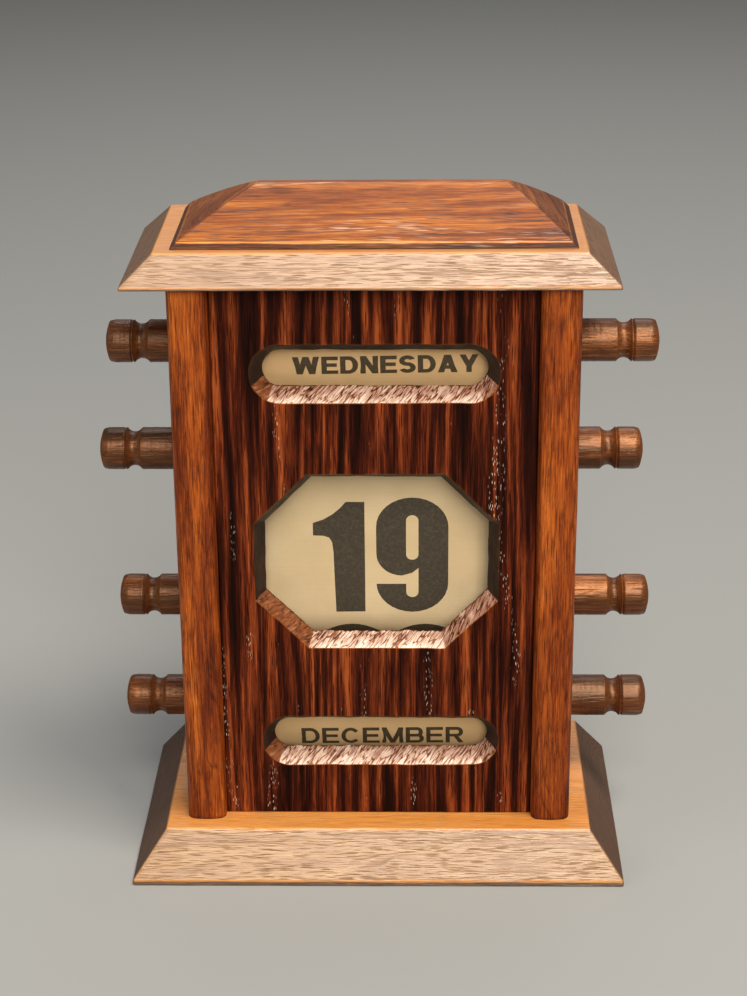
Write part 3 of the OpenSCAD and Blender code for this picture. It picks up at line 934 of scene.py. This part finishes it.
def band(node, body, material):
    """A printed strip round its drum, its two ends lapped at the back."""
    low, high = box(node)
    centre = (roller_y, round_piece(node)[1])
    count = 160
    lap = np.linspace(-SEAM, 0, count)
    inner_r = band_r - BAND_T
    plan = [
        (low[0], inner_r), (low[0], band_r - BAND_BEVEL), (low[0] + BAND_BEVEL, band_r),
        *[(x, band_r) for x in np.linspace(low[0], high[0], 37)[1:-1]],
        (high[0] - BAND_BEVEL, band_r), (high[0], band_r - BAND_BEVEL), (high[0], inner_r),
        (low[0], inner_r),
    ]
    shape = Shape()
    shape.loft([
        circle_ring((x, *centre), 0, r + (lap if r > inner_r else 0), count) for x, r in plan
    ])
    return dress(node, shape, [material], body, "printed_paper")


def roll(node, body, material):
    """The wound part of the scroll: one ribbon, spiralled from the core outwards."""
    low, high = box(node)
    y, z, outer = round_piece(node)
    turns = (outer - core_r) / (CLOTH_T + 0.02)
    count = round(turns * 72)
    angle = np.linspace(0, -2 * np.pi * turns, count) + np.pi
    middle = np.linspace(core_r + CLOTH_T / 2, outer - CLOTH_T / 2, count)
    faces = ((middle + CLOTH_T / 2, angle), ((middle - CLOTH_T / 2)[::-1], angle[::-1]))
    section = np.concatenate([
        np.column_stack([y + r * np.cos(a), z + r * np.sin(a)]) for r, a in faces
    ])
    shape = Shape()
    shape.ribbon([np.insert(section, 0, x, axis=1) for x in np.linspace(low[0], high[0], 8)])
    return dress(node, shape, [material], body, "scroll_cloth")


class Web:
    """Path of the scroll's free stretch: round the lower roll, straight up, and round the upper roll."""

    CURL = math.radians(60)
    GAP = 0.3

    def __init__(self):
        lower, upper = lower_r + self.GAP + CLOTH_T, upper_r + self.GAP + CLOTH_T
        rise = upper_z - lower_z
        self.lean = math.asin((upper - lower) / rise)
        self.straight = math.sqrt(rise ** 2 - (upper - lower) ** 2)
        self.lower, self.upper = lower, upper
        self.foot = -lower * self.CURL
        self.top = self.straight + upper * self.CURL

    def at(self, s, out):
        """(y, z) at path lengths s, measured up from the lower roll's touching point, out from the face."""
        low_turn = np.minimum(s, 0) / self.lower
        high_turn = np.maximum(s - self.straight, 0) / self.upper
        turn = low_turn + high_turn + self.lean
        high_half = s > self.straight / 2
        radius = np.where(high_half, self.upper, self.lower) + out
        base_z = np.where(high_half, upper_z, lower_z)
        along = np.clip(s, 0, self.straight) - np.where(high_half, self.straight, 0)
        y = roller_y - radius * np.cos(turn) - along * math.sin(self.lean)
        z = base_z + radius * np.sin(turn) + along * math.cos(self.lean)
        return y, z

    def swell(self, x, s):
        """Slight unevenness of the stretched cloth."""
        spots = np.column_stack([x, s, np.zeros(len(x))])
        hang = np.clip(s / 8, 0, 1) * np.clip((self.straight - s) / 8, 0, 1)
        return 0.10 * hang * (ripple(spots, (26, 14, 1), 71) - 0.3)

    def put(self, x, s, out):
        """Points at x and path lengths s, out from the face."""
        y, z = self.at(s, out + self.swell(x, s))
        return np.column_stack([x, y, z])

    def path_of(self, z):
        """Path length at which the outer face of the straight stretch passes a height."""
        return (z - lower_z - self.lower * math.sin(self.lean)) / math.cos(self.lean)


web = Web()


def date_web(material):
    """The free stretch of the scroll, its ends tucked round the two rolls."""
    low, high = box("date_web")
    xs = np.linspace(low[0], high[0], 57)
    ss = np.concatenate([
        np.linspace(web.foot, 0, 18)[:-1],
        np.linspace(0, web.straight, 44),
        np.linspace(web.straight, web.top, 18)[1:],
    ])
    there_and_back = np.concatenate([xs, xs[::-1]])
    out = np.repeat([0, -CLOTH_T], len(xs))
    shape = Shape()
    shape.ribbon([web.put(there_and_back, np.full(len(out), s), out) for s in ss])
    piece = dress("date_web", shape, [material], "case", "scroll_cloth")
    return piece


# ---- lettering


def bar(x0, x1, y0, y1):
    """A square-cut stroke."""
    return np.array([(x0, y0), (x1, y0), (x1, y1), (x0, y1)])


def slant(foot, top, width, y0=0.0, y1=1.0):
    """A leaning stroke whose left edge runs from foot to top."""
    return np.array([(foot, y0), (foot + width, y0), (top + width, y1), (top, y1)])


def curve(cx, cy, rx, ry, start, end, count=9):
    """Points along an oval from start to end degrees."""
    angle = np.radians(np.linspace(start, end, count))
    return np.column_stack([cx + rx * np.cos(angle), cy + ry * np.sin(angle)])


def arc(cx, cy, rx, ry, stem, foot, start, end):
    """Part of an oval stroke, rx by ry outside, stem thick at its sides and foot thick above and below."""
    sweep = start, end, 3 + round(abs(end - start) / 9)
    inner = curve(cx, cy, rx - stem, ry - foot, *sweep)
    return np.concatenate([curve(cx, cy, rx, ry, *sweep), inner[::-1]])


def bowl(right, y0, y1, stem, foot, bend):
    """The right side of a B, D, P or R: two short bars and the curve between them."""
    turn = right - bend
    return [
        bar(0, turn + 0.01, y0, y0 + foot),
        bar(0, turn + 0.01, y1 - foot, y1),
        arc(turn, (y0 + y1) / 2, bend, (y1 - y0) / 2, stem, foot, -90, 90),
    ]


WIDTHS = {
    "J": 0.72, "L": 0.72, "F": 0.74, "E": 0.80, "P": 0.80, "S": 0.80, "T": 0.84, "C": 0.90, "Y": 0.90,
    "V": 0.92, "A": 0.94, "G": 0.94, "O": 0.98, "M": 1.02, "W": 1.30,
}
USUAL_WIDTH = 0.86
WAIST = 0.52


def letter(sign, s, t):
    """(width, strokes) of a capital that is 1 high, with stems s and bars t thick."""
    w = s if sign == "I" else WIDTHS.get(sign, USUAL_WIDTH)
    half = w / 2
    d = 1.12 * s
    low, high = WAIST - t / 2, WAIST + t / 2
    upper = (1 + WAIST - t / 2) / 2
    stem, far_stem = bar(0, s, 0, 1), bar(w - s, w, 0, 1)
    top, foot = bar(0, w, 1 - t, 1), bar(0, w, 0, t)

    def sweep(r, start, end):
        return arc(half, r, half, r, s, t, start, end)

    def leg(x0, x1, *span):
        return slant(x0, x1, d, *span)

    vee = [leg(half - 0.5 * d, x) for x in (0, w - d)]
    strokes = {
        "A": [leg(0, half - 0.56 * d), leg(w - d, half - 0.44 * d), bar(0.2 * w, 0.8 * w, 0.21, 0.21 + t)],
        "B": [stem, *bowl(w * 0.95, low, 1, s, t, 0.26), *bowl(w, 0, high, s, t, 0.28)],
        "C": [sweep(0.5, 38, 322)],
        "D": [stem, *bowl(w, 0, 1, s, t, 0.44)],
        "E": [stem, top, foot, bar(0, w * 0.93, low, high)],
        "F": [stem, top, bar(0, w * 0.9, low - 0.04, high - 0.04)],
        "G": [sweep(0.5, 38, 318), bar(half, w, 0.36, 0.36 + t), bar(w - s * 0.9, w, 0.10, 0.50)],
        "H": [stem, far_stem, bar(0, w, low, high)],
        "I": [stem],
        "J": [bar(w - s, w, 0.3, 1), sweep(0.32, 180, 360)],
        "L": [stem, foot],
        "M": [stem, far_stem, *vee],
        "N": [stem, far_stem, leg(w - d, 0)],
        "O": [sweep(0.5, -95, 95), sweep(0.5, 85, 275)],
        "P": [stem, *bowl(w, 0.38, 1, s, t, 0.30)],
        "R": [stem, *bowl(w * 0.97, 0.42, 1, s, t, 0.28), leg(w - 1.05 * d, w * 0.42, 0, 0.48)],
        "S": [arc(half, upper, half * 0.97, 1 - upper, s, t, 22, 272), sweep(high / 2, 92, -158)],
        "T": [bar(half - s / 2, half + s / 2, 0, 1), top],
        "U": [bar(0, s, 0.38, 1), bar(w - s, w, 0.38, 1), sweep(0.40, 180, 360)],
        "V": vee,
        "W": [
            leg(foot_x - 0.5 * d, top_x)
            for foot_x, top_x in (
                (w * 0.27, 0), (w * 0.27, half - 0.5 * d), (w * 0.73, half - 0.5 * d), (w * 0.73, w - d)
            )
        ],
        "Y": [
            bar(half - s / 2, half + s / 2, 0, 0.44), leg(half - 0.52 * d, 0, 0.38),
            leg(half - 0.48 * d, w - d, 0.38),
        ],
    }
    return w, strokes[sign]


def word(text, height, stem, foot, gap, stretch):
    """Loops of a word, in millimetres, centred on x = 0 and standing on y = 0."""
    loops, pen = [], 0.0
    for sign in text:
        w, strokes = letter(sign, stem, foot)
        loops += [loop + [pen, 0] for loop in strokes]
        pen += w + gap
    width = (pen - gap) * stretch * height
    return [loop * [stretch * height, height] - [width / 2, 0] for loop in loops]


INK_T = 0.04


def print_ink(name, body, slot, loops, holes, put, material, step):
    """Thin ink on a surface. put(flat points, height) gives the place of flat points above the paper."""
    shape = Shape()
    for solid, hollow in zip(loops, holes):
        flat, faces = triangulate(solid, hollow, step)
        top, under = put(flat, INK_T), put(flat, -INK_T)
        faces = faces[np.all(np.isfinite(top[faces]), axis=(1, 2))]
        n = len(flat)
        turned = [(a, b) for face in faces for a, b in zip(face, np.roll(face, -1))]
        sides = set(turned)
        walls = np.array([(a, b, b + n, a + n) for a, b in turned if (b, a) not in sides])
        used = np.unique(faces)
        place = np.full(2 * n, -1)
        place[np.concatenate([used, used + n])] = np.arange(2 * len(used))
        points = np.concatenate([top[used], under[used]])
        for part in (faces, faces[:, ::-1] + n, walls):
            shape.add(points, place[part])
    return make(name, shape, [material], body, slot)


def drum_print(name, body, node, texts, material, shown, angle, middle, height, tilt, stretch, **style):
    """Words round a drum, each below the one before it.

    shown is the number of the word in the window, and angle and middle are the place of its
    middle: degrees up from the front, and x. height is the capitals', tilt the lean of the lines in
    degrees, and style the stem, foot and gap of the letters as shares of the height."""
    z = round_piece(node)[1]
    turn = 360 / len(texts)
    lean = math.radians(tilt)
    spin = np.array([[math.cos(lean), math.sin(lean)], [-math.sin(lean), math.cos(lean)]])
    loops = []
    for k, text in enumerate(texts):
        step = k - shown
        up = math.radians(angle - step * turn) * band_r
        uneven = np.array([middle + 0.8 * math.sin(2.4 * step), up - 0.7 * math.sin(1.9 * step)])
        strokes = word(text, height, stretch=stretch, **style)
        loops.append([(loop - [0, height / 2]) @ spin + uneven for loop in strokes])

    def put(flat, out):
        a = flat[:, 1] / band_r
        r = band_r + out
        return np.column_stack([flat[:, 0], roller_y - r * np.cos(a), z + r * np.sin(a)])

    holes = [[]] * len(loops)
    return print_ink(name, body, "printed_paper", loops, holes, put, material, 0.8)


DAYS = ["SUNDAY", "MONDAY", "TUESDAY", "WEDNESDAY", "THURSDAY", "FRIDAY", "SATURDAY"]
MONTHS = [
    "JANUARY", "FEBRUARY", "MARCH", "APRIL", "MAY", "JUNE",
    "JULY", "AUGUST", "SEPTEMBER", "OCTOBER", "NOVEMBER", "DECEMBER",
]

DIGIT_H = 32.35
DIGIT_W = 18.6
DIGIT_STEM = 7.7


def oval(x0, x1, y0, y1, bend_x, bend_y):
    """Box with rounded corners, bend_x by bend_y each."""
    left, right, low, high = x0 + bend_x, x1 - bend_x, y0 + bend_y, y1 - bend_y
    centres = ((right, high), (left, high), (left, low), (right, low))
    return np.concatenate([
        curve(cx, cy, bend_x, bend_y, 90 * k, 90 * k + 90) for k, (cx, cy) in enumerate(centres)
    ])


def digit(sign):
    """(solid loops, hollow loops) of one numeral, standing on 0 with its left edge at 0."""
    w, h, s = DIGIT_W, DIGIT_H, DIGIT_STEM
    low, high = 4.3, h - 4.9
    slit = w - 2 * s
    body = oval(0, w, 0, h, w / 2, 8.2)

    def counter(y0, y1):
        return oval(s, w - s, y0, y1, slit / 2, 1.5)

    if sign == "0":
        return [body], [counter(low, high)]
    if sign == "1":
        outline = [
            (13.3, h - 1.2), (13.3, 0.1), (5.7, 0), (5.2, 17.3), (4.9, 19.9), (4.1, 21.2), (2.6, 21.7),
            (0, 21.8), (0, 25.3), (2.6, 26.2), (5.2, 27.8), (7.0, 29.4), (8.5, h - 1.2),
        ]
        return [np.array(outline)], []
    if sign == "9":
        hook = curve(w - s - slit / 2, 5.8, slit / 2, 1.6, 0, -180, 17)
        cheek = curve(6.6, 16.6, 6.6, 6.2, -180, -90)
        notch = [
            (w - s, 12.6), *hook, (s, 8.0), (-0.5, 8.0), (-0.5, 16.6), *cheek, (w - s - 1.6, 11.2),
        ]
        return [body], [counter(14.9, high), np.array(notch)]
    if sign == "8":
        waist = h * 0.53
        top = oval(0.6, w - 0.6, waist - 2.6, h, w / 2 - 0.6, 7.0)
        foot = oval(0, w, 0, waist + 2.2, w / 2, 7.4)
        return [top, foot], [counter(waist + 2.2, high), counter(low, waist - 2.6)]
    notch = [
        (-0.5, 22.0), (s, 22.0), (s, h - 6.4), (w / 2, high), (w - s, h - 6.4), (w - s, 22.0),
        (w - s - 2.0, 17.5), (-0.5, 6.0),
    ]
    under = [(8.2, 6.0), (11.5, 11.0), (w + 0.5, 17.8), (w + 0.5, 6.0)]
    return [body, bar(0, w, 0, 9)], [np.array(notch), np.array(under)]


DATE_FOOT_Z = 65.3
TENS_X = -16.55
UNITS_X = -0.3


def date_numbers(material):
    """Numbers of the shown date and of its two neighbours, on the free stretch of the scroll."""
    foot = web.path_of(DATE_FOOT_Z)
    loops, holes = [], []
    rows = [("18", 40.5, TENS_X, UNITS_X), ("19", 0, TENS_X, UNITS_X), ("20", -36.2, -16.0, 3.1)]
    for text, rise, *lefts in rows:
        for sign, left in zip(text, lefts):
            solid, hollow = digit(sign)
            shift = np.array([left, foot + rise])
            loops.append([loop + shift for loop in solid])
            holes.append([loop + shift for loop in hollow])

    def put(flat, out):
        places = web.put(flat[:, 0], flat[:, 1], out)
        beyond = (flat[:, 1] < web.foot + 0.5) | (flat[:, 1] > web.top - 0.5)
        places[beyond] = np.nan
        return places

    return print_ink("date_numbers", "case", "scroll_cloth", loops, holes, put, material, 1.0)


# ---- assembly

case_wood, case_wood_right = (
    oak(name, 2, CASE_TONES, seed, pith, 0.15, 0.0, pores=(1.8, 0.27, 0.7), flecks=0.8)
    for name, seed, pith in (("oak_left", 1, (-40, 60)), ("oak_right", 2, (36, 60)))
)
panel_wood = oak(
    "oak_panel", 2, PANEL_TONES, 3, (-190, 40), 0.05, 0.0, rings=(0.5, 0.7, 0.125), flecks=0.2,
    wax=(0.3, 0.16),
)
back_wood = oak("oak_back", 2, CASE_TONES, 4, (5, 80), 0.3, 0.1)
base_wood = oak(
    "oak_base", 0, BASE_TONES, 5, (15, -70), 0.6, 1.0, rough=0.36, rings=(0.8, 0.4, 0.2),
    pores=(3.6, 0.33, 0.5), flecks=0.15,
)
slab_wood = oak(
    "oak_cornice", 0, SLAB_TONES, 6, (-10, 230), 0.6, 0.75, rough=0.38, rings=(0.8, 0.4, 0.2),
    pores=(3.6, 0.33, 0.45), flecks=0.15,
)
roof_wood = oak(
    "oak_roof", 0, ROOF_TONES, 7, (-8, 255), 0.4, 0.2, rings=(0.9, 0.5, 0.14), flecks=0.15,
    wax=(0.8, 0.03),
)
knob_wood = oak(
    "oak_turned", 0, KNOB_TONES, 8, (20, 20), 1.0, 0.35, rough=0.36, rings=(0.5, 0.5, 0.12),
    pores=(1.8, 0.27, 0.85), flecks=0.5, ends="763c16", glint="ffb474",
)
raw_cut = cut_wood("cut_walls")
drum_wood = plain_wood("drum_wood", [(0.3, "8e6a42"), (0.7, "b9925f")], 3)
band_paper = paper("band_paper", [(0.0, "deb47e"), (1.0, "ecc68f")])
cloth_paper = paper("scroll_paper", [(0.0, "d6bb8e"), (1.0, "e4cca2")], 0.55)
word_ink = ink("word_ink", "4a3d2a")
number_ink = ink("number_ink", "423a2e")
steel = metal("steel_wear", "8d8f92", 0.35)
brass = metal("brass_wear", "a98546", 0.4)

# The tints of these three boards paint light and shade. Below zero they paint shade: on the base's lip and
# foot line, under the cornice's lower edge, and on the roof's riser and lower edge. Above zero they paint
# light on the base's and cornice's tops, and paler worn edges with a painted highlight.
board(
    "base_plinth", base_wood, 101, (0.3, 0.35, 0.5), (0, -0.8, 0, 0.9), (-1, 0.8, 0.9),
    recesses=screw_heads("base_screws", 2),
)
board("cornice_slab", slab_wood, 121, (0.3, 0.3, 0.45), (0, -0.2, 0, 0.7), (-0.9, 0.6, 0.9))
board(
    "roof_cap", roof_wood, 141, (0.2, 0.3, 2.2), (0, -0.85, 0, 0), (-1, 1, 0.3), bulge=0.5, corner=0.4
)
side_board("left_side", case_wood, 161)
side_board("right_side", case_wood_right, 181)
front_panel(panel_wood, raw_cut)
back_panel(back_wood)
for node, body, seed in (
    ("day_roller", "day_spindle", 3), ("date_upper_roller", "date_upper_spindle", 4),
    ("date_lower_roller", "date_lower_spindle", 5), ("month_roller", "month_spindle", 6),
):
    roller(node, body, knob_wood, seed)
band("day_band", "day_spindle", band_paper)
band("month_band", "month_spindle", band_paper)
roll("date_upper_roll", "date_upper_spindle", cloth_paper)
roll("date_lower_roll", "date_lower_spindle", cloth_paper)
date_web(cloth_paper)
drum_print(
    "day_words", "day_spindle", "day_band", DAYS, word_ink, shown=3, angle=-4.1, middle=2.4,
    height=4.62, tilt=0.82, stretch=1.118, stem=0.26, foot=0.20, gap=0.10,
)
drum_print(
    "month_words", "month_spindle", "month_band", MONTHS, word_ink, shown=11, angle=-15.85,
    middle=1.05, height=5.55, tilt=0.67, stretch=1.0, stem=0.20, foot=0.165, gap=0.12,
)
date_numbers(number_ink)

for node, finish in (
    ("base_screws", steel), ("cornice_screws", steel), ("back_screws", brass),
    ("day_drum", drum_wood), ("day_drum_pins", steel), ("month_drum", drum_wood),
    ("month_drum_pins", steel), ("date_upper_core", drum_wood), ("date_upper_pins", steel),
    ("date_lower_core", drum_wood), ("date_lower_pins", steel),
):
    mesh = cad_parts[node].data
    mesh.materials.clear()
    mesh.materials.append(finish)


# ---- floor, light and camera

WORLD_LIGHT = 0.16
MIDDLE = (0, 0, 0.09)


def stage_floor():
    """A floor that is paler far from the piece."""
    mesh = bpy.data.meshes.new("floor")
    reach = 12.0
    rim = [(-reach, -reach, 0), (reach, -reach, 0), (reach, reach, 0), (-reach, reach, 0)]
    mesh.from_pydata(rim, [], [(0, 1, 2, 3)])
    floor = Finish("floor", Roughness=0.75, Specular_IOR_Level=0.2)
    x, y, _ = floor.place()
    away = floor.calc("SQRT", floor.calc("ADD", *[floor.times(v, v) for v in (x, y)]))
    tone = floor.mix(floor.between(away, 1500, 4500), colour("979896"), colour("f2f3f2"))
    mesh.materials.append(floor.paint(tone))
    piece = link("floor", mesh)


def area_light(name, place, size, watts, tone):
    """A rectangular light that faces the middle of the piece."""
    lamp = bpy.data.lights.new(name, "AREA")
    lamp.shape = "RECTANGLE"
    lamp.size, lamp.size_y = size
    lamp.energy = watts
    lamp.color = colour(tone)[:3]
    light = link(name, lamp)
    light.location = place
    light.rotation_euler = (Vector(MIDDLE) - Vector(place)).to_track_quat("-Z", "Y").to_euler()


def pale_world():
    """A pale background for the camera, and a dimmer one that lights the piece."""
    world = bpy.data.worlds.new("pale")
    bpy.context.scene.world = world
    world.use_nodes = True
    nodes, join = world.node_tree.nodes, world.node_tree.links.new
    back, seen = nodes["Background"], nodes.new("ShaderNodeBackground")
    back.inputs["Color"].default_value = colour("f2f4f8")
    back.inputs["Strength"].default_value = WORLD_LIGHT
    seen.inputs["Color"].default_value = colour("d6d7d6")
    path = nodes.new("ShaderNodeLightPath")
    either = nodes.new("ShaderNodeMath")
    either.operation = "MAXIMUM"
    mix = nodes.new("ShaderNodeMixShader")
    for k, ray in enumerate(("Is Camera Ray", "Is Transmission Ray")):
        join(path.outputs[ray], either.inputs[k])
    for k, source in enumerate((either, back, seen)):
        join(source.outputs[0], mix.inputs[k])
    join(mix.outputs[0], nodes["World Output"].inputs["Surface"])


stage_floor()
pale_world()
area_light("front_box", (0.14, -1.05, 0.86), (0.5, 0.85), 16, "fff8ee")
area_light("key_box", (0.4, -0.35, 1.3), (0.5, 0.5), 16, "fff6ea")
area_light("left_box", (-0.95, -0.5, 0.7), (0.7, 0.5), 3, "f1f5ff")
area_light("back_box", (0.1, 0.9, 1.0), (0.9, 0.5), 3, "ffffff")

CAMERA_PLACE = (0.0107, -0.523, 0.3068)
CAMERA_YAW = -0.0225
CAMERA_PITCH = -0.386
CAMERA_ROLL = -0.009
FOCAL_PIXELS = 2175
FRAME_HEIGHT = 996


def photo_camera():
    """The camera that was fitted to the photograph's edges."""
    data = bpy.data.cameras.new("photo_camera")
    data.sensor_width = 36
    data.lens = FOCAL_PIXELS * data.sensor_width / FRAME_HEIGHT
    data.clip_start, data.clip_end = 0.01, 100
    camera = link("photo_camera", data)
    ahead = Vector((
        math.sin(CAMERA_YAW) * math.cos(CAMERA_PITCH),
        math.cos(CAMERA_YAW) * math.cos(CAMERA_PITCH),
        math.sin(CAMERA_PITCH),
    ))
    right = Vector((math.cos(CAMERA_YAW), -math.sin(CAMERA_YAW), 0))
    turn = Matrix((right, right.cross(ahead), -ahead)).transposed().to_4x4()
    roll_back = Matrix.Rotation(CAMERA_ROLL, 4, "Z")
    camera.matrix_world = Matrix.Translation(CAMERA_PLACE) @ turn @ roll_back
    bpy.context.scene.camera = camera


photo_camera()
bpy.context.scene.view_settings.view_transform = "Standard"
